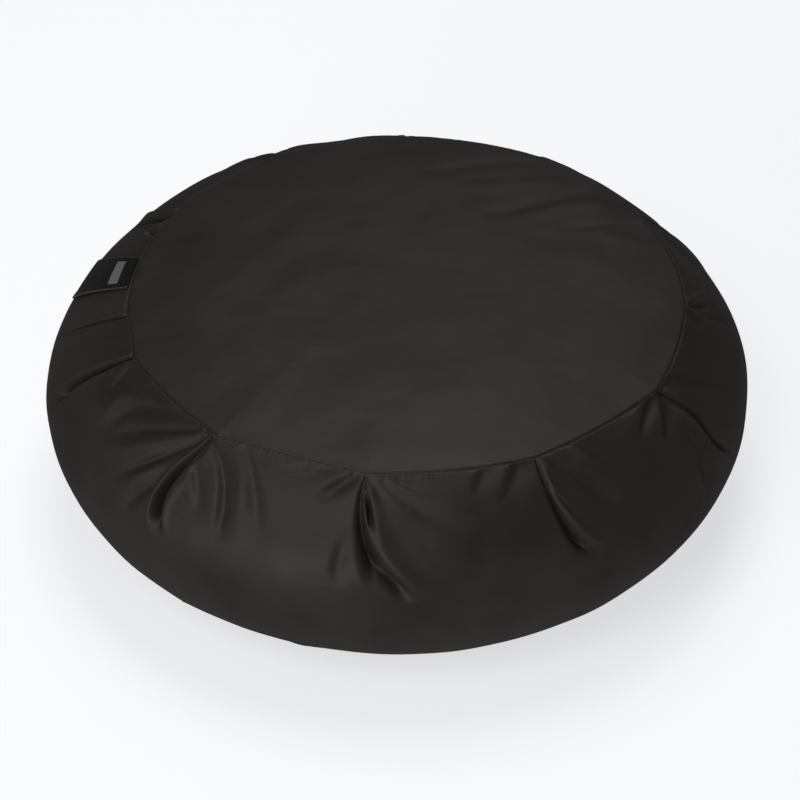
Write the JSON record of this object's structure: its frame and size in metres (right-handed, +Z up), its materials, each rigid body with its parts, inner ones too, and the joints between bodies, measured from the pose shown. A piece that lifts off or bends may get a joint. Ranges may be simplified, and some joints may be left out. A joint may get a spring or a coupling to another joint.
{
  "type": "zafu meditation cushion",
  "caption": "Round filled floor cushion with a nearly flat top panel, a pleated bulging side band and a folded ribbon tab in the top seam.",
  "frame": {"origin": "centre of the flat base where the cushion rests", "axes": "+Z up through the cushion's thickness; the front, seen in the picture, faces -Y and the ribbon tab lies towards -X"},
  "size_m": [0.3796, 0.3795, 0.13],
  "materials": {
    "side_cloth": "fine smooth dark charcoal twill with a soft sheen",
    "top_cloth": "fine smooth dark charcoal twill with a soft sheen",
    "base_cloth": "fine smooth dark charcoal twill with a soft sheen",
    "ribbon": "black woven satin ribbon"
  },
  "bodies": {
    "root": {"side_band": "side_cloth", "top_panel": "top_cloth", "base_panel": "base_cloth", "label_tab": "ribbon"}
  },
  "joints": []
}
